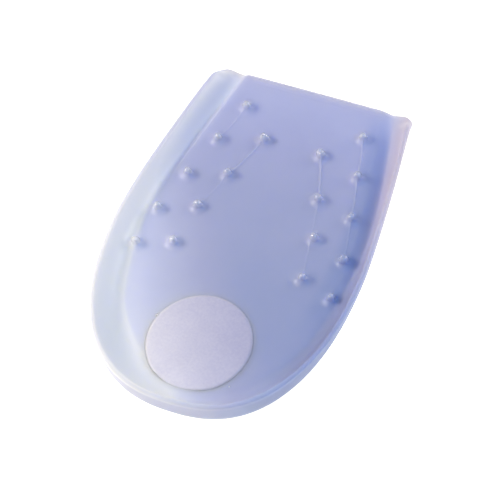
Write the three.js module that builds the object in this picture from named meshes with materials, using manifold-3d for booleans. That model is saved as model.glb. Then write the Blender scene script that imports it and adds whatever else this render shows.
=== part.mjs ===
// Heel cup: a soft gel heel cushion with a low wall, four rows of nubs and a round softer spot.
// Millimetres. +X across the foot, +Y towards the toes, +Z up, underside at zero.

import * as THREE from 'three';
import { mergeVertices } from 'three/addons/utils/BufferGeometryUtils.js';
import Module from 'manifold-3d';

const wasm = await Module();
wasm.setup();

// Plan of the cup
const length = 104;
const width = 69;
const frontWidth = 55.6;
const widestFromFront = 53.7;
const frontCornerRadius = 2.6;
const sideFullness = 1.34;
const heelFullness = 2.4;
const outlineLean = 1.9;

// Heights above the surface that it rests on
const heelRimHeight = 14.2;
const frontRimHeight = 4.2;
const frontEdgeHeight = 1.7;
const heelFloorHeight = 7.1;
const frontFloorHeight = 2.4;
const floorCrown = 0.35;

// Wall, rim and the step beside the floor
const rimWidth = 1.2;
const rimRounding = 0.5;
const rimRoundingDepth = 0.3;
const rimFaceHeight = 5.5;
const leastLipShare = 0.35;
const frontWallBand = 6.2;
const heelWallBand = 9.6;
const stepWidth = 1.8;
const stepHeight = 1.1;
const stepOffset = 0.4;
const baseInset = 9;
const baseFullness = 1.35;
const cornerRun = 5;
const frontBevelRun = 1.6;

// Nubs and the ridges between them
const nubHeight = 2.7;
const nubFootRadius = 2.7;
const nubTipRadius = 0.8;
const nubRoot = 1.2;
const nubPitch = 12.4;
const outerRowStart = 10.8;
const innerRowStart = 19.4;
const ridgeRadius = 0.42;

// Round soft spot and its pocket
const spotRadius = 13.5;
const spotFromFront = 82.9;
const spotDepth = 3;
const spotProud = 0.45;
const spotDome = 0.5;
const spotEdgeRounding = 0.9;
const roundCornerShare = 0.3;
const clearance = 0.3;

// Fineness of the mesh
const cornerSteps = 3;
const sideSteps = 14;
const heelSteps = 12;
const wallSteps = 5;
const floorSteps = 5;
const nubSides = 10;
const spotSides = 36;
const ridgeStepsPerNub = 4;
const spotDomeSteps = 4;
const ridgeSides = 6;
const weldDistance = 1e-5;

// Sections along the cup, from the front edge to the heel end.
// at: share of the length. rim, floor and band: share of the way from the front size to the heel size.
// step, face and base: share of the step's height, of the rim's face and of the base inset.
// hollow: power of the wall's inner curve.
const sections = [
  { at: 0.00, rim: 0.00, floor: 0.00, band: 0.00, step: 0.75, face: 0.18, base: 0.10, hollow: 1.2 },
  { at: 0.10, rim: 0.19, floor: 0.12, band: -0.24, step: 1.00, face: 0.18, base: 0.22, hollow: 1.3 },
  { at: 0.25, rim: 0.38, floor: 0.36, band: -0.50, step: 1.00, face: 0.18, base: 0.38, hollow: 1.4 },
  { at: 0.38, rim: 0.57, floor: 0.60, band: -0.60, step: 0.65, face: 0.18, base: 0.52, hollow: 1.6 },
  { at: 0.52, rim: 0.70, floor: 0.83, band: -0.30, step: 0.15, face: 0.18, base: 0.66, hollow: 1.8 },
  { at: 0.68, rim: 0.81, floor: 0.97, band: 0.35, step: 0.00, face: 0.34, base: 0.80, hollow: 1.9 },
  { at: 0.85, rim: 0.95, floor: 1.00, band: 0.90, step: 0.00, face: 0.73, base: 0.94, hollow: 1.9 },
  { at: 1.00, rim: 1.00, floor: 1.00, band: 1.00, step: 0.00, face: 1.00, base: 1.00, hollow: 1.9 },
];

// Nubs of one half, row by row from the front. along: in pitches. across: share of the half width there.
const nubRows = [
  { start: outerRowStart, along: [0, 0.98, 2.01, 3.04, 3.99], across: [0.566, 0.637, 0.704, 0.768, 0.798] },
  { start: innerRowStart, along: [0, 1.08, 2.03, 3.03], across: [0.264, 0.395, 0.487, 0.527] },
];

// Ridges from nub to nub. side: 1 right, -1 left. rise: share of the ridge radius.
const ridges = [
  { side: 1, row: 0, from: 0, to: 2, rise: 1.0 },
  { side: 1, row: 0, from: 2, to: 3, rise: 0.7 },
  { side: 1, row: 1, from: 0, to: 1, rise: 1.0 },
  { side: 1, row: 1, from: 1, to: 3, rise: 0.7 },
  { side: -1, row: 0, from: 0, to: 1, rise: 0.8 },
  { side: -1, row: 1, from: 0, to: 1, rise: 1.0 },
  { side: -1, row: 1, from: 1, to: 2, rise: 0.7 },
];

const mix = (a, b, share) => a + (b - a) * share;
const smooth = (share) => share * share * (3 - 2 * share);
const clamp = (value, low, high) => Math.min(Math.max(value, low), high);

// Value of one column of the section table at a distance from the front edge.
function column(name, fromFront) {
  const at = clamp(fromFront / length, 0, 1);
  let next = 1;
  while (next < sections.length - 1 && sections[next].at < at) {
    next += 1;
  }
  const before = sections[next - 1];
  const after = sections[next];
  return mix(before[name], after[name], (at - before.at) / (after.at - before.at));
}

// Half width of the plan, without the rounded front corners.
function halfWidth(fromFront) {
  if (fromFront < widestFromFront) {
    const ahead = 1 - fromFront / widestFromFront;
    return width / 2 - (width - frontWidth) / 2 * ahead ** sideFullness;
  }
  const behind = clamp((fromFront - widestFromFront) / (length - widestFromFront), 0, 1);
  return width / 2 * (1 - behind ** heelFullness) ** (1 / heelFullness);
}

// The outline leans: its middle is a little to the left in front and a little to the right behind.
function outlineShift(fromFront) {
  return outlineLean * (fromFront - widestFromFront) / length;
}

// Section lines run from the outline to the floor's middle line. At the heel all meet at the spot's centre.
const turnShare = 0.875;
const turnFromFront = turnShare * spotFromFront;
const spineAhead = spotFromFront / turnFromFront;

// One section line: where it starts across the cup, where it ends, its length and how much of it is wall.
function sectionLine(side, fromFront) {
  const edge = side * halfWidth(fromFront) + outlineShift(fromFront);
  const spine = Math.min(fromFront * spineAhead, spotFromFront);
  const reach = Math.hypot(edge, spine - fromFront);
  const offset = side * stepOffset * column('step', fromFront);
  const band = mix(frontWallBand, heelWallBand, column('band', fromFront)) - offset;
  return { fromFront, edge, spine, reach, band };
}

// Heights of one section, as functions of the distance from the front edge of its outline point.
function rimHeight(fromFront) {
  const full = mix(frontRimHeight, heelRimHeight, column('rim', fromFront));
  return mix(frontEdgeHeight, full, smooth(clamp(fromFront / cornerRun, 0, 1)));
}

function floorHeight(across, fromFront) {
  const middle = mix(frontFloorHeight, heelFloorHeight, column('floor', fromFront));
  const crown = floorCrown * (across / (width / 2)) ** 2;
  const bevel = (frontFloorHeight - frontEdgeHeight) * (1 - smooth(clamp(fromFront / frontBevelRun, 0, 1)));
  return middle - crown - bevel;
}

// Height of the upper face at a point of a section line that lies an inset inside its outline point.
function topHeight(line, inset) {
  const rim = rimHeight(line.fromFront);
  const share = inset / line.reach;
  const floor = floorHeight(line.edge * (1 - share), mix(line.fromFront, line.spine, share));
  const crease = floor - stepHeight * column('step', line.fromFront);
  if (inset < rimRounding) {
    return rim - rimRoundingDepth * (1 - inset / rimRounding) ** 2;
  }
  if (inset < rimWidth) {
    return rim;
  }
  if (inset < line.band) {
    const down = (inset - rimWidth) / (line.band - rimWidth);
    return mix(crease, Math.max(rim, crease), (1 - down) ** column('hollow', line.fromFront));
  }
  return mix(crease, floor, smooth(clamp((inset - line.band) / stepWidth, 0, 1)));
}

// Height of the underside: flat, and round the edge curved up to the lower edge of the rim's face.
function underHeight(outlineFromFront, inset) {
  const rim = rimHeight(outlineFromFront);
  const face = rimFaceHeight * column('face', outlineFromFront);
  const lip = Math.max(rim - face, rim * leastLipShare);
  const run = baseInset * column('base', outlineFromFront);
  const outward = 1 - clamp(inset / run, 0, 1);
  return lip * (1 - (1 - outward ** baseFullness) ** (1 / baseFullness));
}

// Outline points of the right half, from the front edge to the heel end.
function outlinePlaces() {
  const places = [];
  for (let step = 0; step < cornerSteps; step += 1) {
    const turn = (step / cornerSteps) * Math.PI / 2;
    places.push(frontCornerRadius * (1 - Math.cos(turn)));
  }
  for (let step = 0; step < sideSteps; step += 1) {
    places.push(mix(frontCornerRadius, turnFromFront, step / sideSteps));
  }
  const roundShare = (turnFromFront - widestFromFront) / (length - widestFromFront);
  const firstTurn = Math.asin(roundShare ** (heelFullness / 2));
  for (let step = 0; step <= heelSteps; step += 1) {
    const turn = mix(firstTurn, Math.PI / 2, step / heelSteps);
    places.push(mix(widestFromFront, length, Math.sin(turn) ** (2 / heelFullness)));
  }
  return places;
}

// Points across one section, over the rim, the wall, the step and the floor.
function sectionPoints(side, outlineFromFront) {
  const line = sectionLine(side, outlineFromFront);
  const ahead = Math.max(frontCornerRadius - outlineFromFront, 0);
  const cornerCut = frontCornerRadius - Math.sqrt(frontCornerRadius ** 2 - ahead ** 2);
  const insets = [0, rimRounding / 2, rimRounding];
  for (let step = 0; step < wallSteps; step += 1) {
    insets.push(mix(rimWidth, line.band, step / wallSteps));
  }
  insets.push(line.band, line.band + stepWidth / 2, line.band + stepWidth);
  for (let step = 1; step <= floorSteps; step += 1) {
    insets.push(mix(line.band + stepWidth, line.reach, step / floorSteps));
  }
  return insets.map((inset) => {
    const place = inset < line.band ? mix(cornerCut, line.band, inset / line.band) : inset;
    const share = place / line.reach;
    return {
      x: line.edge * (1 - share),
      y: length / 2 - mix(outlineFromFront, line.spine, share),
      top: topHeight(line, inset),
      under: underHeight(outlineFromFront, inset),
    };
  });
}

// Collects triangles and welds equal points.
class ClosedMesh {
  constructor() {
    this.places = [];
    this.lookup = new Map();
    this.triangles = [];
  }

  point(x, y, z) {
    const key = [x, y, z].map((value) => Math.round(value / weldDistance) + 0).join(' ');
    if (!this.lookup.has(key)) {
      this.lookup.set(key, this.places.length / 3);
      this.places.push(x, y, z);
    }
    return this.lookup.get(key);
  }

  quad(a, b, c, d) {
    for (const corners of [[a, b, c], [a, c, d]]) {
      if (new Set(corners).size === 3) {
        this.triangles.push(...corners);
      }
    }
  }

  geometry() {
    const geometry = new THREE.BufferGeometry();
    geometry.setAttribute('position', new THREE.Float32BufferAttribute(this.places, 3));
    geometry.setIndex(this.triangles);
    return geometry;
  }
}

// The moulding without nubs: sections from the right front corner round the heel to the left front corner.
function cupGeometry() {
  const places = outlinePlaces();
  const right = places.map((place) => sectionPoints(1, place));
  const left = places.slice(0, -1).reverse().map((place) => sectionPoints(-1, place));
  const mesh = new ClosedMesh();
  const rows = [...right, ...left].map((row) => row.map((at) => ({
    top: mesh.point(at.x, at.y, at.top),
    under: mesh.point(at.x, at.y, at.under),
  })));
  for (let row = 0; row < rows.length - 1; row += 1) {
    const here = rows[row];
    const next = rows[row + 1];
    mesh.quad(here[0].under, here[0].top, next[0].top, next[0].under);
    for (let step = 0; step < here.length - 1; step += 1) {
      mesh.quad(here[step].top, here[step + 1].top, next[step + 1].top, next[step].top);
      mesh.quad(here[step].under, next[step].under, next[step + 1].under, here[step + 1].under);
    }
  }
  for (let step = 0; step < rows[0].length - 1; step += 1) {
    const first = rows[0];
    const last = rows[rows.length - 1];
    mesh.quad(first[step].under, first[step + 1].under, first[step + 1].top, first[step].top);
    mesh.quad(last[step].under, last[step].top, last[step + 1].top, last[step + 1].under);
  }
  return mesh.geometry();
}

// Height of the upper face at any plan point ahead of the heel's round end.
const lineSearches = 6;

function surfaceHeight(across, fromFront) {
  const side = Math.sign(across);
  let line = sectionLine(side, fromFront);
  for (let pass = 0; pass < lineSearches; pass += 1) {
    line = sectionLine(side, fromFront / mix(1, spineAhead, 1 - across / line.edge));
  }
  return topHeight(line, (1 - across / line.edge) * line.reach);
}

function nubPlace(side, row, index) {
  const fromFront = nubRows[row].start + nubRows[row].along[index] * nubPitch;
  const across = nubRows[row].across[index] * halfWidth(fromFront);
  return { x: side * across, fromFront };
}

// A soft hill with a small blunt tip. foot and tip: shares of the two radii. up: share of the height.
const nubProfile = [
  { foot: 1.00, tip: 0.0, up: 0.00 },
  { foot: 0.70, tip: 0.0, up: 0.16 },
  { foot: 0.42, tip: 0.0, up: 0.45 },
  { foot: 0.00, tip: 1.0, up: 0.68 },
  { foot: 0.00, tip: 0.9, up: 0.88 },
  { foot: 0.00, tip: 0.5, up: 0.98 },
  { foot: 0.00, tip: 0.0, up: 1.00 },
];

function nubGeometry() {
  const profile = nubProfile.map(({ foot, tip, up }) => (
    new THREE.Vector2(foot * nubFootRadius + tip * nubTipRadius, up * nubHeight)
  ));
  profile.unshift(new THREE.Vector2(0, -nubRoot), new THREE.Vector2(nubFootRadius, -nubRoot));
  return new THREE.LatheGeometry(profile, nubSides).rotateX(Math.PI / 2);
}

// A fine ridge on the floor from one nub to another of the same row.
function ridgeGeometry({ side, row, from, to, rise }) {
  const start = nubPlace(side, row, from);
  const end = nubPlace(side, row, to);
  const count = ridgeStepsPerNub * (to - from);
  const path = [];
  for (let step = 0; step <= count; step += 1) {
    const x = mix(start.x, end.x, step / count);
    const fromFront = mix(start.fromFront, end.fromFront, step / count);
    const sink = ridgeRadius * (1 - rise);
    path.push(new THREE.Vector3(x, length / 2 - fromFront, surfaceHeight(x, fromFront) - sink));
  }
  const shape = new THREE.Shape();
  shape.absarc(0, 0, ridgeRadius, 0, Math.PI * 2);
  return new THREE.ExtrudeGeometry(shape, {
    steps: count,
    curveSegments: ridgeSides / 2,
    extrudePath: new THREE.CatmullRomCurve3(path),
  });
}

// The soft spot: a plug with a rounded upper edge and a low dome.
function spotGeometry() {
  const top = heelFloorHeight + spotProud;
  const chamfer = spotEdgeRounding * roundCornerShare;
  const profile = [
    new THREE.Vector2(0, heelFloorHeight - spotDepth),
    new THREE.Vector2(spotRadius, heelFloorHeight - spotDepth),
    new THREE.Vector2(spotRadius, top - spotEdgeRounding),
    new THREE.Vector2(spotRadius - chamfer, top - chamfer),
    new THREE.Vector2(spotRadius - spotEdgeRounding, top),
  ];
  for (let step = 1; step <= spotDomeSteps; step += 1) {
    const out = (spotRadius - spotEdgeRounding) * (1 - step / spotDomeSteps);
    const rise = spotDome * (1 - (out / (spotRadius - spotEdgeRounding)) ** 2);
    profile.push(new THREE.Vector2(out, top + rise));
  }
  return new THREE.LatheGeometry(profile, spotSides).rotateX(Math.PI / 2);
}

// The pocket that the soft spot sits in, with its clearance.
function pocketGeometry() {
  const bottom = heelFloorHeight - spotDepth - clearance;
  const height = heelRimHeight;
  const radius = spotRadius + clearance;
  const geometry = new THREE.CylinderGeometry(radius, radius, height, spotSides);
  return geometry.rotateX(Math.PI / 2).translate(0, length / 2 - spotFromFront, bottom + height / 2);
}

function solid(geometry) {
  const bare = geometry.clone();
  bare.deleteAttribute('normal');
  bare.deleteAttribute('uv');
  const merged = mergeVertices(bare, weldDistance);
  return new wasm.Manifold(new wasm.Mesh({
    numProp: 3,
    vertProperties: new Float32Array(merged.attributes.position.array),
    triVerts: new Uint32Array(merged.index.array),
  }));
}

function geometryOf(manifold) {
  const mesh = manifold.getMesh();
  const geometry = new THREE.BufferGeometry();
  geometry.setAttribute('position', new THREE.BufferAttribute(new Float32Array(mesh.vertProperties), 3));
  geometry.setIndex(new THREE.BufferAttribute(new Uint32Array(mesh.triVerts), 1));
  geometry.computeVertexNormals();
  return geometry;
}

function cupBody() {
  let body = solid(cupGeometry());
  const nub = nubGeometry();
  for (const side of [1, -1]) {
    nubRows.forEach((row, rowIndex) => {
      row.across.forEach((share, index) => {
        const place = nubPlace(side, rowIndex, index);
        const height = surfaceHeight(place.x, place.fromFront);
        body = body.add(solid(nub.clone().translate(place.x, length / 2 - place.fromFront, height)));
      });
    });
  }
  for (const ridge of ridges) {
    body = body.add(solid(ridgeGeometry(ridge)));
  }
  return geometryOf(body.subtract(solid(pocketGeometry())));
}

const gel = new THREE.MeshStandardMaterial({ color: 0xa8acd2, roughness: 0.38, metalness: 0 });
const softGel = new THREE.MeshStandardMaterial({ color: 0xd2d0e4, roughness: 0.62, metalness: 0 });

const cup = new THREE.Mesh(cupBody(), gel);
cup.name = 'cup_body';

const spot = new THREE.Mesh(spotGeometry(), softGel);
spot.name = 'soft_spot';
spot.position.set(0, length / 2 - spotFromFront, 0);

const heelCup = new THREE.Group();
heelCup.add(cup, spot);

export default heelCup;
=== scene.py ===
# %% [markdown]
# # Heel cup
# A gel heel cushion lies on a light table with its hollow side up. It is one moulding of milky blue
# silicone: a floor that thickens towards the heel, a low wall round the sides and the heel, four rows of
# small nubs and a round whiter spot under the heel bone. The plain solids of the same cup are loaded
# first. They stand for its weight and its contacts, and the two fine pieces made below are what is seen.

# %% Load the solids as the frame
import math

import bmesh
import bpy
import numpy as np
from mathutils import Matrix, Vector


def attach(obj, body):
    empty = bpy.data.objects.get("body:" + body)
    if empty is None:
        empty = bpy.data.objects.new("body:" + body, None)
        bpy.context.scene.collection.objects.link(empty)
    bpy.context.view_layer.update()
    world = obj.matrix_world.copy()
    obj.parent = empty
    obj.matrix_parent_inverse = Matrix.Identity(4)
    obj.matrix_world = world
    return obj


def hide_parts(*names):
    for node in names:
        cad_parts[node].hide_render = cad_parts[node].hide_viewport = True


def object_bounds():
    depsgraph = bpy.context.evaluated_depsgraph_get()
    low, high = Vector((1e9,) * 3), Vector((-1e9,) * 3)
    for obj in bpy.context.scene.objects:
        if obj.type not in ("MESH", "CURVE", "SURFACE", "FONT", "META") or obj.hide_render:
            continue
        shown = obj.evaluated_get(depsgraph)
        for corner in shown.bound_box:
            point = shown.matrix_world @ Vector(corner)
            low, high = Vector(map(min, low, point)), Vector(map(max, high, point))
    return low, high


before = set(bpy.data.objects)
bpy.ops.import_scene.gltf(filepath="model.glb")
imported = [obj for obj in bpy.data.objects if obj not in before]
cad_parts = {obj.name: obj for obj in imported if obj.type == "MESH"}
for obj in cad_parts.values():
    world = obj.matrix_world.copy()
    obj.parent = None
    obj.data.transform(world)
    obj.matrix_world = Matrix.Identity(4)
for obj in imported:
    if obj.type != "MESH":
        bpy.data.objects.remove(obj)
cad_low, cad_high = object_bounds()
print("solids:", sorted(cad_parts), "box", [round(c, 4) for c in (*cad_low, *cad_high)])

# %% [markdown]
# The fine surface follows the same sizes as the solids, so the two agree everywhere. Sizes are in
# millimetres, because the object is small, and the mesh is brought to metres at the end. The length and
# the height are read from the solids' box. from_front is the distance from the straight front edge, which
# lies at the +Y end, and an inset is a distance in from the outline.

# %% Sizes of the cup
MM = 0.001
LENGTH = float(round((cad_high[1] - cad_low[1]) / MM, 2))
HEEL_RIM = float(round((cad_high[2] - cad_low[2]) / MM, 2))

# Outline
WIDTH = 69.0
FRONT_WIDTH = 55.6
WIDEST = 53.7
CORNER_RADIUS = 2.6
SIDE_FULLNESS = 1.34
HEEL_FULLNESS = 2.4
OUTLINE_LEAN = 1.9

# Heights of the rim and the floor
FRONT_RIM = 4.2
FRONT_EDGE = 1.7
HEEL_FLOOR = 7.1
FRONT_FLOOR = 2.4
FLOOR_CROWN = 0.35
CORNER_RUN = 5.0
FRONT_BEVEL = 1.6
FRONT_ROUNDING = 0.35

# Wall, crease and step
RIM_WIDTH = 1.2
RIM_ROUNDING = 0.5
RIM_FACE = 5.5
LEAST_LIP = 0.35
FRONT_BAND = 6.2
HEEL_BAND = 9.6
STEP_WIDTH = 1.8
RIGHT_STEP_WIDTH = 4.0
STEP_HEIGHT = 1.1
STEP_OFFSET = 0.4
BASE_INSET = 9.0
BASE_FULLNESS = 1.35

# Soft spot and its pocket
SPOT_RADIUS = 13.5
SPOT_FROM_FRONT = 82.9
SPOT_DEPTH = 3.0
SPOT_PROUD = 0.45
SPOT_DOME = 0.5
CLEARANCE = 0.3
POCKET_RADIUS = SPOT_RADIUS + 0.12
POCKET_LIP = 0.15
POCKET_LIP_REACH = 0.9
print("cup", LENGTH, "by", WIDTH, "by", HEEL_RIM, "mm")

# %% [markdown]
# The wall and the floor change along the cup, so a table of sections gives each of them as shares, at
# eight places from the front to the heel. Straight lines between its rows would leave faint kinks across
# the gloss, so each value is averaged over a few millimetres along the cup.

# %% Section table
# rim, floor and band: shares of the way from the front's value to the heel's
# step, face and base: shares of the full value
# hollow: power of the wall's curve
SECTION_AT = [0.00, 0.10, 0.25, 0.38, 0.52, 0.68, 0.85, 1.00]
SECTIONS = {
    "rim": [0.00, 0.19, 0.38, 0.57, 0.70, 0.81, 0.95, 1.00],
    "floor": [0.00, 0.12, 0.36, 0.60, 0.83, 0.97, 1.00, 1.00],
    "band": [0.00, -0.24, -0.50, -0.60, -0.30, 0.35, 0.90, 1.00],
    "step": [0.75, 1.00, 1.00, 0.65, 0.15, 0.00, 0.00, 0.00],
    "face": [0.18, 0.18, 0.18, 0.18, 0.18, 0.34, 0.73, 1.00],
    "base": [0.10, 0.22, 0.38, 0.52, 0.66, 0.80, 0.94, 1.00],
    "hollow": [1.2, 1.3, 1.4, 1.6, 1.8, 1.9, 1.9, 1.9],
}
# Averaging: shift along the cup as a share of its length, weight
AVERAGING = [(-0.04, 1), (-0.02, 2), (0, 3), (0.02, 2), (0.04, 1)]


def mix(a, b, share):
    return a + (b - a) * share


def smooth(share):
    """0 below 0, 1 above 1 and a soft rise between them."""
    share = np.clip(share, 0, 1)
    return share * share * (3 - 2 * share)


def rises(value, start, end):
    """0 up to the start, 1 from the end on and a soft rise between them."""
    return smooth((value - start) / (end - start))


def fade(away, reach):
    """1 at no distance, and a bell that is almost gone at twice the reach."""
    return np.exp(-((away / reach) ** 2))


def column(name, from_front):
    """One column of the section table at any distance from the front."""
    at = np.clip(np.asarray(from_front, float) / LENGTH, 0, 1)
    total = 0
    for shift, weight in AVERAGING:
        total = total + weight * np.interp(at + shift, SECTION_AT, SECTIONS[name])
    return total / sum(weight for _, weight in AVERAGING)


middle_rim = mix(FRONT_RIM, HEEL_RIM, column("rim", LENGTH / 2))
print("rim at the middle", round(float(middle_rim), 2), "mm")

# %% [markdown]
# Seen from above the cup is a D. It could be drawn as a curve object, but formulas give any point of it,
# which the mesh below needs. A section line starts at each point of the outline and runs in to the middle
# of the floor. All lines behind the turn meet at the centre of the round spot, so the mesh turns round
# the heel as the wall does. The lines that would cross the spot's pocket end at its edge.

# %% Outline and section lines
TURN_SHARE = 0.875
TURN = TURN_SHARE * SPOT_FROM_FRONT
SPINE_AHEAD = SPOT_FROM_FRONT / TURN


def half_width(from_front):
    ahead = np.clip(1 - from_front / WIDEST, 0, 1)
    behind = np.clip((from_front - WIDEST) / (LENGTH - WIDEST), 0, 1)
    side = WIDTH / 2 - (WIDTH - FRONT_WIDTH) / 2 * ahead**SIDE_FULLNESS
    heel = WIDTH / 2 * (1 - behind**HEEL_FULLNESS) ** (1 / HEEL_FULLNESS)
    return np.where(from_front < WIDEST, side, heel)


def section_line(side, from_front):
    """Section lines that start on the outline, on the right (1) or the left (-1) side."""
    lean = OUTLINE_LEAN * (from_front - WIDEST) / LENGTH
    edge = side * half_width(from_front) + lean
    spine = np.minimum(from_front * SPINE_AHEAD, SPOT_FROM_FRONT)
    step = column("step", from_front)
    return {
        "from_front": from_front,
        "edge": edge,
        "spine": spine,
        "reach": np.hypot(edge, spine - from_front),
        "band": mix(FRONT_BAND, HEEL_BAND, column("band", from_front)) - side * STEP_OFFSET * step,
        "rise": mix(STEP_WIDTH, RIGHT_STEP_WIDTH, (side > 0) * step),
    }


def pocket_inset(line):
    """Inset at which a section line meets the pocket's edge, or the whole line if it misses it."""
    away = line["spine"] - SPOT_FROM_FRONT
    along = (line["from_front"] - line["spine"]) / line["reach"]
    half = away * along
    root = np.maximum(half**2 - away**2 + POCKET_RADIUS**2, 0)
    from_spine = np.where(np.abs(away) < POCKET_RADIUS, -half + np.sqrt(root), 0)
    return line["reach"] - from_spine


widest, front = (float(half_width(np.array(at))) for at in (WIDEST, 0.0))
print("widest half", widest, "mm, front half", front)

# %% [markdown]
# Nubs massage the sole. Each is a soft hill with a small blunt tip, and every tip came out of its mould a
# little different. Fine ridges, left by channels in the mould, run from some nubs to the next, and two
# tiny bubbles sit beside the round spot. Small spheres pushed into the floor would leave hard seams, so
# all of them are only listed here, and join the height of the floor further down.

# %% Places of nubs, ridges and bubbles
# Rows of nubs: start from the front, steps along in pitches, places across as shares of the half width
NUB_PITCH = 12.4
NUB_ROWS = [
    (10.8, [0, 0.98, 2.01, 3.04, 3.99], [0.566, 0.637, 0.704, 0.768, 0.798]),
    (19.4, [0, 1.08, 2.03, 3.03], [0.264, 0.395, 0.487, 0.527]),
]
# Ridges: side, row of nubs, first nub, last nub, rise
RIDGES = [
    (1, 0, 0, 1, 1.0),
    (1, 0, 1, 2, 0.7),
    (1, 0, 2, 3, 0.35),
    (1, 1, 0, 1, 1.4),
    (1, 1, 1, 3, 0.35),
    (-1, 0, 0, 1, 0.4),
    (-1, 1, 0, 1, 1.2),
    (-1, 1, 1, 2, 0.35),
]
# Bubbles: place across, distance from the front, radius
BUBBLES = [(-13.7, 78.6, 0.34), (12.2, 92.1, 0.26)]
TIP_HEIGHT = 1.25
TIP_RADIUS = 1.12
SEED = 11


def nub_place(side, row, index):
    start, along, across = NUB_ROWS[row]
    from_front = start + along[index] * NUB_PITCH
    x = side * across[index] * float(half_width(np.array(from_front)))
    return x, LENGTH / 2 - from_front


rng = np.random.default_rng(SEED)
tips = []
for side in (1, -1):
    for row in (0, 1):
        for index in range(len(NUB_ROWS[row][1])):
            x, y = nub_place(side, row, index)
            tips.append({
                "x": x,
                "y": y,
                "radius": TIP_RADIUS * rng.uniform(0.88, 1.12),
                "height": TIP_HEIGHT * rng.uniform(0.85, 1.1),
                "lean": rng.uniform(-0.16, 0.16, 2),
                "turn": rng.uniform(0, 2 * math.pi),
                "lobes": int(rng.integers(2, 5)),
                "dimple": rng.uniform(0.0, 0.3),
            })
ridge_lines = [
    (*nub_place(side, row, first), *nub_place(side, row, last), rise)
    for side, row, first, last, rise in RIDGES
]
bubbles = [(x, LENGTH / 2 - from_front, radius) for x, from_front, radius in BUBBLES]
print(len(tips), "nubs,", len(ridge_lines), "ridges,", len(bubbles), "bubbles")

# %% [markdown]
# The upper face is a height over the plan, built up in layers. Sculpting could give the same form, but a
# height is the natural way to say the shape of a shallow moulding that has no undercut. The large layers
# come first: rim, wall, crease, step and floor on top, and the rounded lower edge underneath.


# %% Large heights of the moulding
def rim_height(from_front):
    full = mix(FRONT_RIM, HEEL_RIM, column("rim", from_front))
    return mix(FRONT_EDGE, full, smooth(from_front / CORNER_RUN))


def floor_height(across, from_front):
    middle = mix(FRONT_FLOOR, HEEL_FLOOR, column("floor", from_front))
    crown = FLOOR_CROWN * (across / (WIDTH / 2)) ** 2
    bevel = (FRONT_FLOOR - FRONT_EDGE) * (1 - smooth(from_front / FRONT_BEVEL))
    return middle - crown - bevel


def top_height(line, inset):
    rim = rim_height(line["from_front"])
    share = inset / line["reach"]
    across, from_front = line["edge"] * (1 - share), mix(line["from_front"], line["spine"], share)
    floor = floor_height(across, from_front)
    crease = floor - STEP_HEIGHT * column("step", line["from_front"])
    outward = np.clip(1 - inset / RIM_ROUNDING, 0, 1)
    rounded = rim - RIM_ROUNDING * (1 - np.sqrt(1 - outward**2))
    down = np.clip((inset - RIM_WIDTH) / (line["band"] - RIM_WIDTH), 0, 1)
    wall = mix(crease, np.maximum(rim, crease), (1 - down) ** column("hollow", line["from_front"]))
    stepped = mix(crease, floor, smooth((inset - line["band"]) / line["rise"]))
    return np.where(inset < RIM_WIDTH, rounded, np.where(inset < line["band"], wall, stepped))


def under_height(from_front, inset):
    rim = rim_height(from_front)
    lip = np.maximum(rim - RIM_FACE * column("face", from_front), rim * LEAST_LIP)
    outward = 1 - np.clip(inset / (BASE_INSET * column("base", from_front)), 0, 1)
    return lip * (1 - (1 - outward**BASE_FULLNESS) ** (1 / BASE_FULLNESS))


def front_rounding(from_front):
    """How far the upper front edge is rounded off."""
    ahead = np.clip(1 - from_front / FRONT_ROUNDING, 0, 1)
    return FRONT_ROUNDING * (1 - np.sqrt(1 - ahead**2))


heel_floor = float(floor_height(np.array(0.0), np.array(LENGTH)))
print("floor at the heel", round(heel_floor, 2), "mm, rim", round(float(rim_height(LENGTH)), 2), "mm")

# %% [markdown]
# Then come the fine layers: the nubs' hills and tips, the ridges, the bubbles, the lines that the mould
# left along the front edge, and a slight swelling of the gel round the pocket. A bump map could suggest
# them, but they catch light from the side and show in the outline, so they are real heights too.

# %% Fine heights of the moulding
HILL_HEIGHT = 1.5
HILL_RADIUS = 1.8
TIP_EDGE = 0.3
TIP_SPREAD = 0.14
TIP_UNEVEN = 0.09
DIMPLE_RADIUS = 0.3
DIMPLE_OFFSET = 0.08
RIDGE_HEIGHT = 0.24
RIDGE_HALF_WIDTH = 0.24
RIDGE_GAP = 0.3
RIDGE_RUN_OUT = 0.8
BUBBLE_EDGE = 0.2
# Lines along the front: distance from the front, height, half width
FRONT_LINES = [(0.9, 0.22, 0.2), (1.7, 0.3, 0.22), (2.6, -0.16, 0.3)]
FRONT_LINES_END = 2.0


def front_lines(x, from_front):
    inside = smooth((FRONT_WIDTH / 2 - FRONT_BAND - FRONT_LINES_END - np.abs(x)) / FRONT_LINES_END)
    total = 0
    for at, height, half in FRONT_LINES:
        total = total + height * fade(from_front - at, half)
    return total * inside


def tip_relief(x, y):
    total = np.zeros_like(x)
    for tip in tips:
        dx, dy = x - tip["x"], y - tip["y"]
        away = np.hypot(dx, dy)
        total += HILL_HEIGHT * fade(away, HILL_RADIUS)
        lobes = np.cos(tip["lobes"] * np.arctan2(dy, dx) + tip["turn"])
        radius = tip["radius"] * (1 + TIP_UNEVEN * lobes)
        peg = smooth((radius + TIP_SPREAD - away) / TIP_EDGE)
        dome = 0.5 + 0.5 * np.sqrt(np.maximum(1 - (away / radius) ** 2, 0))
        crown = dome + tip["lean"][0] * dx + tip["lean"][1] * dy
        dimple = tip["dimple"] * fade(away - DIMPLE_OFFSET, DIMPLE_RADIUS)
        total += tip["height"] * peg * (crown - dimple)
    return total


def beside_ridge(x, y, ax, ay, bx, by):
    """How far points lie along and off a ridge, and the ridge's length."""
    length = math.hypot(bx - ax, by - ay)
    along = ((x - ax) * (bx - ax) + (y - ay) * (by - ay)) / length
    off = ((x - ax) * (by - ay) - (y - ay) * (bx - ax)) / length
    return along, off, length


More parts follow.
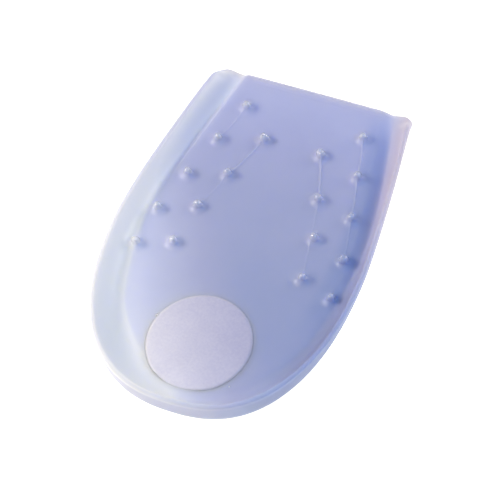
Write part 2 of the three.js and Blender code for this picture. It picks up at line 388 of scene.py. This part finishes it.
def ridge_relief(x, y):
    total = np.zeros_like(x)
    for *ends, rise in ridge_lines:
        along, off, length = beside_ridge(x, y, *ends)
        start = smooth((along - RIDGE_GAP) / RIDGE_RUN_OUT)
        stop = smooth((length - RIDGE_GAP - along) / RIDGE_RUN_OUT)
        total = np.maximum(total, rise * RIDGE_HEIGHT * start * stop * fade(off, RIDGE_HALF_WIDTH))
    return total


def bubble_relief(x, y):
    total = np.zeros_like(x)
    for bx, by, radius in bubbles:
        away = np.hypot(x - bx, y - by)
        total += np.sqrt(np.maximum(radius**2 - away**2, 0))
    return total


def near_pocket(x, from_front):
    """1 at the edge of the spot's pocket, and a quick fade away from it."""
    away = np.hypot(x, from_front - SPOT_FROM_FRONT) - POCKET_RADIUS
    return fade(away, POCKET_LIP_REACH)


def fine_relief(x, y, from_front):
    nubs = tip_relief(x, y) + ridge_relief(x, y) + bubble_relief(x, y)
    return nubs + front_lines(x, from_front) + POCKET_LIP * near_pocket(x, from_front)


tip_tops = tip_relief(np.array([tip["x"] for tip in tips]), np.array([tip["y"] for tip in tips]))
print("nubs rise", round(float(tip_tops.min()), 2), "to", round(float(tip_tops.max()), 2), "mm")

# %% [markdown]
# Silicone shows how thick it is by its colour, and light that enters at its edge soaks through it. Tracing
# that light through a clear solid is slow and noisy, so light and shade are painted into the colour, and
# the mesh carries four numbers for the gel to read: how deep it looks with painted light and shade mixed
# in, where the tips and bubbles are, where a rosy light is painted on the thin walls and the front edge,
# and where a painted blue shade lies on the floor beside the right wall.

# %% Looks that the mesh carries, painted light and shade among them
THIN_FLOOR = 0.5
# Painted shade on the outer face, deeper on the left
OUTER_FACE_SHADE, OUTER_FACE_SHADE_LEFT = 1.25, 0.3
# Walls are paler where thin; the left wall also gets painted light, the rear of the right wall painted
# shade
RIGHT_WALL_THIN_AND_SHADE = (0.35, -0.48)
LEFT_WALL_THIN_AND_LIT = (1.0, 0.85)
# Painted shade on the right rim
RIGHT_RIM_SHADE = 0.2
# Painted light along the seam round the pocket
SEAM_PAINTED_LIGHT = 0.15
# Painted light in the crease at the foot of the left wall
STEP_PAINTED_LIGHT, STEP_PAINTED_LIGHT_REACH = 0.25, 1.4
# Painted rosy light on the walls and the front edge
ROSY_LIGHT_LEFT, ROSY_LIGHT_FRONT, ROSY_LIGHT_FRONT_REACH = 0.15, 0.6, 1.6
BESIDE_WALL = 2.5
LEFT_TO_RIGHT = 40.0
# Spans in which a look changes, as shares of the length from the front
REAR_BEGINS, HEEL_BEGINS, HEEL_SHARE = (0.0, 0.5), (0.75, 0.95), 0.5
ROSY_LIGHT_ENDS = (0.2, 0.7)
BLUE_SHADE_BEGINS, BLUE_SHADE_ENDS = (0.0, 0.12), (0.5, 0.75)
# Spans of the trough that takes the painted blue shade, in millimetres in from the foot of the wall
TROUGH_BEGINS, TROUGH_ENDS = (-0.8, 0.8), (4.0, 8.0)


def tip_share(x, y):
    """1 on the small tips, 2 on the bubbles and 0 elsewhere."""
    share = np.zeros_like(x)
    for tip in tips:
        away = np.hypot(x - tip["x"], y - tip["y"])
        share = np.maximum(share, smooth((tip["radius"] + TIP_EDGE - away) / TIP_EDGE))
    for bx, by, radius in bubbles:
        away = np.hypot(x - bx, y - by)
        share = np.maximum(share, 2 * smooth((radius + BUBBLE_EDGE / 2 - away) / BUBBLE_EDGE))
    return share


def gel_looks(line, inset, x, y, from_front, on_top):
    """What the gel's colour reads, painted light and shade included, for points at x, y whose own distance
    from the front is given.
    """
    along = np.clip(from_front / LENGTH, 0, 1)
    rear = rises(along, *REAR_BEGINS) * mix(1, HEEL_SHARE, rises(along, *HEEL_BEGINS))
    to_left = smooth(0.5 - x / LEFT_TO_RIGHT)
    to_right = 1 - to_left
    beside_wall = smooth(1 - inset / (line["band"] + BESIDE_WALL))
    wall = beside_wall * smooth((inset - RIM_ROUNDING) / RIM_WIDTH)
    rim = beside_wall - wall

    floor = floor_height(x, np.clip(from_front, 0, LENGTH))
    # Walls are paler where thin; the left wall also gets painted light and the rear of the right wall
    # painted shade
    wall_thinness_and_light = wall * mix(mix(*RIGHT_WALL_THIN_AND_SHADE, rear), mix(*LEFT_WALL_THIN_AND_LIT, rear), to_left)
    depth_and_light = mix(THIN_FLOOR, 1.0, np.clip(floor / HEEL_FLOOR, 0, 1)) * (1 - wall_thinness_and_light)
    # Painted light along the pocket's seam, painted shade on the right rim
    depth_and_light = depth_and_light - SEAM_PAINTED_LIGHT * near_pocket(x, from_front) + RIGHT_RIM_SHADE * rim * to_right * rear
    past_wall = inset - line["band"]
    # Painted light in the crease at the foot of the left wall
    depth_and_light = depth_and_light - STEP_PAINTED_LIGHT * fade(past_wall, STEP_PAINTED_LIGHT_REACH) * to_left

    # Painted blue shade on the floor beside the right wall
    trough = rises(past_wall, *TROUGH_BEGINS) * (1 - rises(past_wall, *TROUGH_ENDS))
    blue = trough * to_right * rises(along, *BLUE_SHADE_BEGINS) * (1 - rises(along, *BLUE_SHADE_ENDS))
    # Painted rosy light on the walls and the front edge
    rosy_light = beside_wall * (1 - rises(along, *ROSY_LIGHT_ENDS)) * mix(1.0, ROSY_LIGHT_LEFT, to_left)
    return {
        # The outer face takes a painted shade, deeper on the left
        "gel_depth": np.where(on_top, depth_and_light, OUTER_FACE_SHADE + OUTER_FACE_SHADE_LEFT * to_left),
        "tip_share": tip_share(x, y) * on_top,
        "rosy_share": np.maximum(rosy_light, ROSY_LIGHT_FRONT * np.exp(-from_front / ROSY_LIGHT_FRONT_REACH)),
        "blue_share": blue * on_top,
    }


# %% [markdown]
# The closed section runs from the middle of the underside outwards, up the outer face, over the rim and
# the wall, and back over the floor to the middle. These are the columns of one grid, in seven zones, and
# the stations round the outline are its rows. So one grid from bmesh becomes the whole cup once its
# points are moved, and the loops of its faces follow the rim and the crease as a modeller's would.

# %% Stations and columns of the grid
CORNER_STATIONS, AHEAD_STATIONS, BESIDE_STATIONS, HEEL_STATIONS = 9, 56, 22, 40
quarter = math.pi / 2
corner = CORNER_RADIUS * (1 - np.cos(np.linspace(0, quarter, CORNER_STATIONS)[:-1]))
last_clear = (SPOT_FROM_FRONT - POCKET_RADIUS) / SPINE_AHEAD
ahead_of_pocket = np.linspace(CORNER_RADIUS, last_clear, AHEAD_STATIONS)[:-1]
beside_turn = np.linspace(0, quarter, BESIDE_STATIONS)[:-1]
beside_pocket = last_clear + POCKET_RADIUS / SPINE_AHEAD * (1 - np.cos(beside_turn))
turn_share = (TURN - WIDEST) / (LENGTH - WIDEST)
heel_turn = np.linspace(math.asin(turn_share ** (HEEL_FULLNESS / 2)), quarter, HEEL_STATIONS)
round_heel = WIDEST + (LENGTH - WIDEST) * np.sin(heel_turn) ** (2 / HEEL_FULLNESS)
right_stations = np.concatenate([corner, ahead_of_pocket, beside_pocket, round_heel])
STATIONS = np.concatenate([right_stations, right_stations[-2::-1]])
HEEL_END = len(right_stations) - 1

ZONE_STEPS = {"underside": 6, "round": 12, "face": 5, "rim": 8, "wall": 14, "crease": 8, "floor": 22}
ZONES = np.cumsum([0, *ZONE_STEPS.values()])
COLUMNS = int(ZONES[-1]) + 1
LEAST_ZONE = 0.6
print(len(STATIONS), "stations by", COLUMNS, "columns")

# %% [markdown]
# One function turns a row and a column into a point, so the surface can be asked for as many points as
# it needs. Each zone of columns has its own run of insets, and the three heights above fill in the rest.


# %% Place of any point of the grid
def under_inset(line, col, zone):
    base_run = BASE_INSET * column("base", line["from_front"])
    flat = mix(line["reach"], base_run, zone[0])
    return np.where(col > ZONES[1], base_run * (1 - np.sin(zone[1] * quarter)), flat)


def top_inset(line, col, zone):
    end = pocket_inset(line)
    floor_start = np.minimum(line["band"] + line["rise"], end - LEAST_ZONE)
    wall_end = np.minimum(line["band"], floor_start - LEAST_ZONE)
    inset = RIM_ROUNDING * (1 - np.cos(np.clip(zone[3] * 2, 0, 1) * quarter))
    inset = np.where(zone[3] > 0.5, mix(RIM_ROUNDING, RIM_WIDTH, zone[3] * 2 - 1), inset)
    inset = np.where(col > ZONES[4], mix(RIM_WIDTH, wall_end, zone[4]), inset)
    inset = np.where(col > ZONES[5], mix(wall_end, floor_start, zone[5]), inset)
    return np.where(col > ZONES[6], mix(floor_start, end, zone[6]), inset)


def place(row, col):
    """Points in metres, and their looks, for rows and columns of the grid, which may be fractions."""
    start = np.interp(row, np.arange(len(STATIONS)), STATIONS)
    line = section_line(np.where(row <= HEEL_END, 1.0, -1.0), start)
    zone = [np.clip((col - a) / (b - a), 0, 1) for a, b in zip(ZONES, ZONES[1:])]
    on_top, below = col >= ZONES[3], col <= ZONES[2]
    low_inset = np.where(below, under_inset(line, col, zone), 0)
    inset = np.where(on_top, top_inset(line, col, zone), low_inset)

    ahead = np.maximum(CORNER_RADIUS - start, 0)
    corner_cut = CORNER_RADIUS - np.sqrt(CORNER_RADIUS**2 - ahead**2)
    moved = np.where(inset < line["band"], mix(corner_cut, line["band"], inset / line["band"]), inset)
    share = moved / line["reach"]
    x = line["edge"] * (1 - share)
    from_front = mix(start, line["spine"], share)
    y = LENGTH / 2 - from_front

    top = top_height(line, inset) + fine_relief(x, y, from_front) - front_rounding(from_front)
    rim_foot = rim_height(start) - RIM_ROUNDING - front_rounding(start)
    face = mix(under_height(start, np.zeros_like(inset)), rim_foot, zone[2])
    z = np.where(on_top, top, np.where(below, under_height(start, inset), face))
    return np.stack([x, y, z], -1) * MM, gel_looks(line, inset, x, y, from_front, on_top)


# %% [markdown]
# The grid comes from bmesh.ops.create_grid. Each point remembers its row and column in two layers, which
# subdivision fills in for new points too. So the mesh can be cut finer just round the nubs and ridges,
# where the real surface has its small shapes, and every new point is then set on the true surface. A
# subdivision surface would spend as many faces on the plain floor.

# %% Make the grid and refine it round the nubs
# Refining: distance from a nub, from a ridge and from a bubble, and the number of cuts
REFINING = [(3.4, 0.9, 1.2, 2), (1.5, 0.5, 0.6, 3)]
cup = bmesh.new()
rows = len(STATIONS)
bmesh.ops.create_grid(cup, x_segments=rows - 1, y_segments=COLUMNS - 1, size=0.5)
row_layer = cup.verts.layers.float.new("row")
col_layer = cup.verts.layers.float.new("col")
for v in cup.verts:
    v[row_layer] = (v.co.x + 0.5) * (rows - 1)
    v[col_layer] = (v.co.y + 0.5) * (COLUMNS - 1)


def settle(bm):
    """Sets every point of the grid on the surface and returns the looks of the points."""
    row = np.array([v[row_layer] for v in bm.verts])
    col = np.array([v[col_layer] for v in bm.verts])
    points, looks = place(row, col)
    for v, point in zip(bm.verts, points):
        v.co = point
    return looks


def near_features(points, nub_reach, ridge_reach, bubble_reach):
    x, y = points[:, 0] / MM, points[:, 1] / MM
    near = np.zeros(len(x), bool)
    for tip in tips:
        near |= np.hypot(x - tip["x"], y - tip["y"]) < nub_reach
    for *ends, _ in ridge_lines:
        along, off, length = beside_ridge(x, y, *ends)
        near |= (np.abs(off) < ridge_reach) & (along > 0) & (along < length)
    for bx, by, _ in bubbles:
        near |= np.hypot(x - bx, y - by) < bubble_reach
    return near


for *reaches, cuts in REFINING:
    settle(cup)
    cup.faces.ensure_lookup_table()
    centres = np.array([f.calc_center_median() for f in cup.faces])
    first_col = np.array([min(v[col_layer] for v in f.verts) for f in cup.faces])
    chosen = near_features(centres, *reaches) & (first_col >= ZONES[4])
    edges = {e for f, yes in zip(cup.faces, chosen) if yes for e in f.edges}
    bmesh.ops.subdivide_edges(cup, edges=list(edges), cuts=cuts, use_grid_fill=True)
looks = settle(cup)
print("cup grid:", len(cup.verts), "points,", len(cup.faces), "faces")

# %% [markdown]
# Left and right halves meet in the middle, where their doubles are merged. Two openings are left: the
# flat front face, which is filled, and the round edge of the pocket, which is extruded down and closed.
# These few edges are sharp on the real thing, so they are marked sharp and the rest is shaded smooth.

# %% Close the cup
MERGE_DISTANCE = 0.004 * MM
SLIVER = 0.001 * MM
ON_FRONT = 0.01 * MM
for name, values in looks.items():
    layer = cup.verts.layers.float.new(name)
    for v, value in zip(cup.verts, values):
        v[layer] = float(value)
bmesh.ops.remove_doubles(cup, verts=cup.verts, dist=MERGE_DISTANCE)
front_y = LENGTH / 2 * MM


def open_edges(in_front):
    return [
        e for e in cup.edges
        if e.is_boundary and all(abs(v.co.y - front_y) < ON_FRONT for v in e.verts) == in_front
    ]


front_face = bmesh.ops.edgeloop_fill(cup, edges=open_edges(True))["faces"]
pocket_edge = open_edges(False)
pocket_wall = bmesh.ops.extrude_edge_only(cup, edges=pocket_edge)["geom"]
for v in pocket_wall:
    if isinstance(v, bmesh.types.BMVert):
        v.co.z = (HEEL_FLOOR - SPOT_DEPTH - CLEARANCE) * MM
pocket_floor = bmesh.ops.edgeloop_fill(cup, edges=open_edges(False))["faces"]
bmesh.ops.dissolve_degenerate(cup, edges=cup.edges, dist=SLIVER)
bmesh.ops.recalc_face_normals(cup, faces=cup.faces)
for face in cup.faces:
    face.smooth = True
for face in [*front_face, *pocket_floor]:
    if face.is_valid:
        face.smooth = False
        for edge in face.edges:
            edge.smooth = False
for edge in pocket_edge:
    if edge.is_valid:
        edge.smooth = False
open_left = sum(not e.is_manifold for e in cup.edges)
print("closed cup:", len(cup.faces), "faces, open edges", open_left)
print("volume", round(cup.calc_volume() * 1e6, 2), "cm3")

# %% [markdown]
# A bmesh is a mesh that is still being worked on. To be seen it is written into a mesh, and an object
# holds that mesh in the scene. Every piece ends this way, so it is one function. The objects stay at the
# origin, unturned and unscaled, because their points already lie where they belong.


# %% Turn a bmesh into an object
def finish_piece(bm, name):
    mesh = bpy.data.meshes.new(name)
    bm.to_mesh(mesh)
    bm.free()
    piece = bpy.data.objects.new(name, mesh)
    bpy.context.scene.collection.objects.link(piece)
    triangles = sum(len(p.vertices) - 2 for p in mesh.polygons)
    print(name, "has", triangles, "triangles")
    return piece


cup_piece = finish_piece(cup, "gel_cup")

# %% [markdown]
# The spot is a plug of whiter, softer gel. A turned profile is the plain way to make a round plug: a few
# points from the middle of its underside, up its stem, round a lip that hides the seam and over its low
# dome are spun once round, and the doubles at the axis are merged.

# %% Spin the soft spot
STEM_RADIUS = SPOT_RADIUS + 0.06
LIP_RADIUS = SPOT_RADIUS + 0.4
LIP_DROP = 0.1
SHOULDER = 0.5
SHOULDER_RUN = 1.3
SHOULDER_STEPS, DOME_STEPS, ROUND_STEPS = 8, 14, 96
AXIS_MERGE = 0.002 * MM
plug_top = HEEL_FLOOR + SPOT_PROUD
plug_foot = HEEL_FLOOR - SPOT_DEPTH
dome_radius = LIP_RADIUS - SHOULDER_RUN

profile = [
    (0.0, plug_foot),
    (STEM_RADIUS / 2, plug_foot),
    (STEM_RADIUS, plug_foot),
    (STEM_RADIUS, plug_top - SHOULDER - LIP_DROP),
]
for step in range(SHOULDER_STEPS + 1):
    turn = step / SHOULDER_STEPS * quarter
    out = LIP_RADIUS - SHOULDER_RUN * (1 - math.cos(turn))
    profile.append((out, plug_top - SHOULDER * (1 - math.sin(turn))))
for step in range(1, DOME_STEPS + 1):
    out = dome_radius * (1 - step / DOME_STEPS)
    profile.append((out, plug_top + SPOT_DOME * (1 - (out / dome_radius) ** 2)))

spot = bmesh.new()
chain = [spot.verts.new((x * MM, 0, z * MM)) for x, z in profile]
links = [spot.edges.new(pair) for pair in zip(chain, chain[1:])]
bmesh.ops.spin(
    spot, geom=chain + links, cent=(0, 0, 0), axis=(0, 0, 1), dvec=(0, 0, 0),
    angle=2 * math.pi, steps=ROUND_STEPS, use_merge=True, use_duplicate=False,
)
bmesh.ops.remove_doubles(spot, verts=spot.verts, dist=AXIS_MERGE)
bmesh.ops.translate(spot, verts=spot.verts, vec=(0, (LENGTH / 2 - SPOT_FROM_FRONT) * MM, 0))
bmesh.ops.recalc_face_normals(spot, faces=spot.faces)
for face in spot.faces:
    face.smooth = True
print("spot open edges", sum(not e.is_manifold for e in spot.edges))
spot_piece = finish_piece(spot, "soft_gel_spot")


# %% [markdown]
# Finishes are node materials. Wiring their sums by hand hides the thought behind them, so one small class
# wraps a socket, and an expression such as 1 - mask * 0.4 adds its own Math nodes.

# %% A socket that takes part in expressions
class Wire:
    """An output socket of a node tree, or only the tree while nothing has come out of it."""

    def __init__(self, tree, socket=None):
        self.tree = tree
        self.socket = socket

    def node(self, kind, settings=None, values=None, out=0):
        """Adds any node. Settings are its own choices, values go to its sockets or are wired to them."""
        made = self.tree.nodes.new(kind)
        for name, value in (settings or {}).items():
            if name == "stops":
                elements = made.color_ramp.elements
                while len(elements) < len(value):
                    elements.new(1.0)
                for stop, (at, colour) in zip(elements, value):
                    stop.position, stop.color = at, (*colour, 1)
            else:
                setattr(made, name, value)
        for name, value in (values or {}).items():
            if isinstance(value, Wire):
                self.tree.links.new(value.socket, made.inputs[name])
            else:
                made.inputs[name].default_value = value
        return Wire(self.tree, made.outputs[out])

    def math(self, operation, *values):
        return self.node("ShaderNodeMath", {"operation": operation}, dict(enumerate(values)))

    def blend(self, start, end):
        """A colour from start to end, by this value."""
        return self.node("ShaderNodeMix", {"data_type": "RGBA"}, {0: self, 6: start, 7: end}, out=2)

    def __add__(self, other):
        return self.math("ADD", self, other)

    def __sub__(self, other):
        return self.math("SUBTRACT", self, other)

    def __rsub__(self, other):
        return self.math("SUBTRACT", other, self)

    def __mul__(self, other):
        return self.math("MULTIPLY", self, other)

    __radd__ = __add__
    __rmul__ = __mul__


# %% [markdown]
# Both gels and the table start and end alike: an empty tree, and one Principled shader whose constants
# sit on its sockets. Noise in Object coordinates stays with the piece however it is turned.

# %% What every finish uses
OBJECT_COORDINATES = 3
ATTRIBUTE_FACTOR = 2


def new_finish(name):
    material = bpy.data.materials.new(name)
    material.use_nodes = True
    material.node_tree.nodes.clear()
    return material, Wire(material.node_tree)


def close_finish(wire, constants, varying):
    """Ends a material with one shader: constants sit on its sockets, and what varies is linked."""
    shader = wire.tree.nodes.new("ShaderNodeBsdfPrincipled")
    for name, value in constants.items():
        shader.inputs[name].default_value = value
    for name, value in varying.items():
        wire.tree.links.new(value.socket, shader.inputs[name])
    output = wire.tree.nodes.new("ShaderNodeOutputMaterial")
    wire.tree.links.new(shader.outputs[0], output.inputs["Surface"])


def linear(red, green, blue):
    """A colour picked on a screen, from 0 to 255, as the linear values that nodes take."""
    shares = [c / 255 for c in (red, green, blue)]
    return tuple(c / 12.92 if c <= 0.04045 else ((c + 0.055) / 1.055) ** 2.4 for c in shares)


def noise(wire, coords, scale, detail):
    return wire.node("ShaderNodeTexNoise", None, {"Vector": coords, "Scale": scale, "Detail": detail})


def carried(wire, name):
    """A number that the mesh carries at each of its points."""
    return wire.node("ShaderNodeAttribute", {"attribute_name": name}, out=ATTRIBUTE_FACTOR)


def ramp(wire, stops, share):
    return wire.node("ShaderNodeValToRGB", {"stops": stops}, {"Fac": share})


def relief(wire, strength, height):
    values = {"Strength": strength, "Distance": 0.0001, "Height": height}
    return wire.node("ShaderNodeBump", None, values)


# %% [markdown]
# The left side of the heel is painted paler: painted light stands in for light from that side filling the
# gel there. A slow gradient across the object paints it, and both gels read the same one, so that the spot
# fades with the cup.

# %% Painted light on the left side
# Direction and span of the painted light's gradient across the object
TO_LIT_SIDE = (-0.80, -0.60, 0.0)
LIT_FROM, LIT_TO = -0.001, 0.042


def painted_light_from_left(wire, coords):
    """Painted light: 0 on the right of the cup and 1 at the left of the heel, where the gel is painted
    palest.
    """
    along = wire.node(
        "ShaderNodeVectorMath",
        {"operation": "DOT_PRODUCT"},
        {0: coords, 1: TO_LIT_SIDE},
        out=1,
    )
    return wire.node(
        "ShaderNodeMapRange",
        {"interpolation_type": "SMOOTHSTEP"},
        {"Value": along, "From Min": LIT_FROM, "From Max": LIT_TO},
    )


# %% [markdown]
# Milky silicone is pale where it is thin and bluer where it is thick. Light wanders through the real
# thing, so the shader has subsurface scattering of a few millimetres, and the depth that the mesh carries,
# with its painted light and shade, shifts the colour along a ramp. Painted light from the left makes it
# paler, and a painted blue shade and a painted rosy light are blended over it. Slow patches and a fine
# satin grain break up the surface. The tips and bubbles are smoother than the floor and painted paler as
# a painted highlight, and a clear coat on them gives their small bright glints.

# %% Gel of the cup
GEL_RAMP = [
    (0.0, linear(243, 245, 251)),
    (0.27, linear(212, 217, 236)),
    (0.54, linear(186, 191, 220)),
    (0.74, linear(168, 179, 214)),
    (0.98, linear(144, 152, 190)),
]
# Colour of the painted rosy light
ROSY_LIGHT = (*linear(206, 194, 202), 1)
# Colour of the painted blue shade
SHADE_BLUE = (*linear(138, 160, 208), 1)
# How much the painted light from the left and the painted highlight on the tips and bubbles make the gel
# paler
PAINTED_LIGHT_PALER, TIP_PAINTED_HIGHLIGHT = 0.85, 0.14
PATCHES, CLOUDS = 0.2, 0.05
RAMP_SHARE = 0.7
# Most of the painted blue shade and of the painted rosy light
MOST_SHADE_BLUE, MOST_ROSY_LIGHT = 0.4, 0.75

gel, wire = new_finish("milky_blue_gel")
coords = wire.node("ShaderNodeTexCoord", out=OBJECT_COORDINATES)
patches = noise(wire, coords, scale=45.0, detail=2.0)
clouds = noise(wire, coords, scale=260.0, detail=3.0)
grain = noise(wire, coords, scale=2600.0, detail=2.0)
tip = carried(wire, "tip_share")

# Painted light from the left and a painted highlight on the tips make the gel paler
depth_and_light = carried(wire, "gel_depth") - painted_light_from_left(wire, coords) * PAINTED_LIGHT_PALER - tip * TIP_PAINTED_HIGHLIGHT
depth_and_light = depth_and_light + (patches - 0.5) * PATCHES + (clouds - 0.5) * CLOUDS
colour = ramp(wire, GEL_RAMP, depth_and_light * RAMP_SHARE)
# Painted blue shade beside the right wall
colour = (carried(wire, "blue_share") * MOST_SHADE_BLUE).blend(colour, SHADE_BLUE)
# Painted rosy light on the walls and the front edge
colour = (carried(wire, "rosy_share") * MOST_ROSY_LIGHT).blend(colour, ROSY_LIGHT)
close_finish(
    wire,
    {
        "Subsurface Weight": 0.85,
        "Subsurface Radius": (1.0, 1.0, 1.2),
        "Subsurface Scale": 0.004,
        "IOR": 1.41,
        "Specular IOR Level": 0.5,
        "Coat Roughness": 0.12,
        "Coat IOR": 2.0,
    },
    {
        "Base Color": colour,
        "Roughness": 0.36 + (clouds - 0.5) * 0.12 - tip * 0.2,
        "Coat Weight": tip * 0.9,
        "Normal": relief(wire, 0.12, clouds * 0.5 + grain * 0.5),
    },
)
print(gel.name, "has", len(gel.node_tree.nodes), "nodes")

# %% [markdown]
# The spot's gel is whiter and softer, and full of very fine specks that scatter light, so it looks matt.
# The specks could be modelled one by one, but they are finer than a pixel, and noise does as well. The
# same painted light from the left makes the spot paler on that side.

# %% Gel of the spot
WHITE_RAMP = [(0.0, linear(196, 195, 220)), (1.0, linear(236, 234, 242))]

white, wire = new_finish("speckled_white_gel")
coords = wire.node("ShaderNodeTexCoord", out=OBJECT_COORDINATES)
specks = noise(wire, coords, scale=1500.0, detail=3.0)
blotches = noise(wire, coords, scale=160.0, detail=2.0)
# The painted light from the left makes the spot paler too
tone = (specks - 0.5) * 0.5 + (blotches - 0.5) * 0.3 + painted_light_from_left(wire, coords) * 1.1
close_finish(
    wire,
    {
        "Subsurface Weight": 0.8,
        "Subsurface Radius": (1.0, 1.0, 1.1),
        "Subsurface Scale": 0.0015,
        "IOR": 1.41,
    },
    {
        "Base Color": ramp(wire, WHITE_RAMP, tone),
        "Roughness": 0.55 + (specks - 0.5) * 0.2,
        "Normal": relief(wire, 0.25, specks),
    },
)
print(white.name, "has", len(white.node_tree.nodes), "nodes")

# %% [markdown]
# Each fine piece takes its gel, rides on the one body of the frame and stands for one of the solids,
# which is then hidden.

# %% Give the pieces their gels and hang them on the frame
for piece, material, node, slot in (
    (cup_piece, gel, "cup_body", "blue_gel"),
    (spot_piece, white, "soft_spot", "white_gel"),
):
    piece.data.materials.append(material)
    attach(piece, "root")
    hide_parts(node)
    print(piece.name, "stands for", node, "in", slot)

# %% [markdown]
# The camera looks down on the cup from the right of its heel and is rolled a little. Far away with a long
# lens, it keeps the near and the far end almost the same size, as product pictures do. Its angles were
# found by fitting the cup's outline and nubs to the picture. CENTRE_PIXEL is where the aim lies in a
# picture of 480 by 480 pixels, so the camera is shifted sideways until it does.

# %% Camera
AZIMUTH, ELEVATION, ROLL = 35.02, 58.56, -14.79
FAR = 801.0
AIM = Vector((0, 0, 5))
PIXELS_PER_MM = 3.859
PICTURE = 480
CENTRE_PIXEL = (245.8, 247.2)
SENSOR_WIDTH = 36.0

a, e, r = (math.radians(angle) for angle in (AZIMUTH, ELEVATION, ROLL))
back = Vector((math.sin(a) * math.cos(e), -math.cos(a) * math.cos(e), math.sin(e)))
level = Vector((math.cos(a), math.sin(a), 0))
upward = back.cross(level)
right = math.cos(r) * level + math.sin(r) * upward
up = -math.sin(r) * level + math.cos(r) * upward
off_x, off_y = ((p - PICTURE / 2) / PIXELS_PER_MM for p in CENTRE_PIXEL)
eye = (AIM + back * FAR - right * off_x + up * off_y) * MM

camera = bpy.data.objects.new("camera", bpy.data.cameras.new("camera"))
bpy.context.scene.collection.objects.link(camera)
camera.data.sensor_width = SENSOR_WIDTH
camera.data.lens = PIXELS_PER_MM * FAR / PICTURE * SENSOR_WIDTH
camera.data.clip_start, camera.data.clip_end = 0.05, 20
turned = Matrix((right, up, back)).transposed()
camera.matrix_world = Matrix.Translation(eye) @ turned.to_4x4()
bpy.context.scene.camera = camera
print("lens", round(camera.data.lens, 1), "mm, eye", [round(c, 3) for c in eye])

# %% [markdown]
# Four soft round lamps stand round the cup. The small one on the left models the nubs, a warm one above
# it fills the floor, a low one on the right lights the inside of the left wall, and a blue one high on
# the right cools the shadows. Their strengths and colours were tuned by comparing renders with the
# picture. One large lamp would be simpler, but it can't light both inner walls and still model the nubs.

# %% Lamps
# Lamps: name, turn round the plan and height in degrees, size in metres, power in watts, colour
LAMPS = [
    ("key_from_left", 186, 40, 0.14, 1.22, (1.0, 0.94, 0.92)),
    ("high_from_left", 210, 58, 0.3, 0.82, (1.0, 0.86, 0.66)),
    ("low_from_right", 45, 22, 0.25, 0.68, (1.0, 0.90, 0.82)),
    ("high_from_right", 10, 58, 0.3, 0.7, (0.1, 0.45, 1.0)),
]
LAMP_DISTANCE = 0.5

for name, turn, height, size, power, lamp_colour in LAMPS:
    data = bpy.data.lights.new(name, "AREA")
    data.shape = "DISK"
    data.size, data.energy, data.color = size, power, lamp_colour
    lamp = bpy.data.objects.new(name, data)
    t, h = math.radians(turn), math.radians(height)
    way = Vector((math.cos(t) * math.cos(h), math.sin(t) * math.cos(h), math.sin(h)))
    lamp.location = way * LAMP_DISTANCE
    lamp.rotation_mode = "QUATERNION"
    lamp.rotation_quaternion = way.to_track_quat("Z", "Y")
    bpy.context.scene.collection.objects.link(lamp)
print(len(LAMPS), "lamps")

# %% [markdown]
# The stage is a white light table. It glows a little, so the thin gel lights up from below and the shadow
# on the table stays faint, and a weak even sky fills the rest. A plain floor without a glow would show a
# grey shadow round the cup, which the picture doesn't have.

# %% Table and sky
TABLE_HALF = 2.0
SKY_COLOUR, SKY_STRENGTH = (1.0, 0.95, 1.0, 1), 0.14

table_mesh = bmesh.new()
bmesh.ops.create_grid(table_mesh, x_segments=1, y_segments=1, size=TABLE_HALF)
table = finish_piece(table_mesh, "light_table")
table_finish, wire = new_finish("white_table")
close_finish(
    wire,
    {
        "Base Color": (0.9, 0.9, 0.9, 1),
        "Roughness": 0.6,
        "Emission Color": (1, 0.96, 0.76, 1),
        "Emission Strength": 0.85,
    },
    {},
)
table.data.materials.append(table_finish)

world = bpy.data.worlds.new("soft_sky")
world.use_nodes = True
sky = world.node_tree.nodes["Background"]
sky.inputs["Color"].default_value = SKY_COLOUR
sky.inputs["Strength"].default_value = SKY_STRENGTH
bpy.context.scene.world = world
bpy.context.scene.view_settings.view_transform = "Standard"
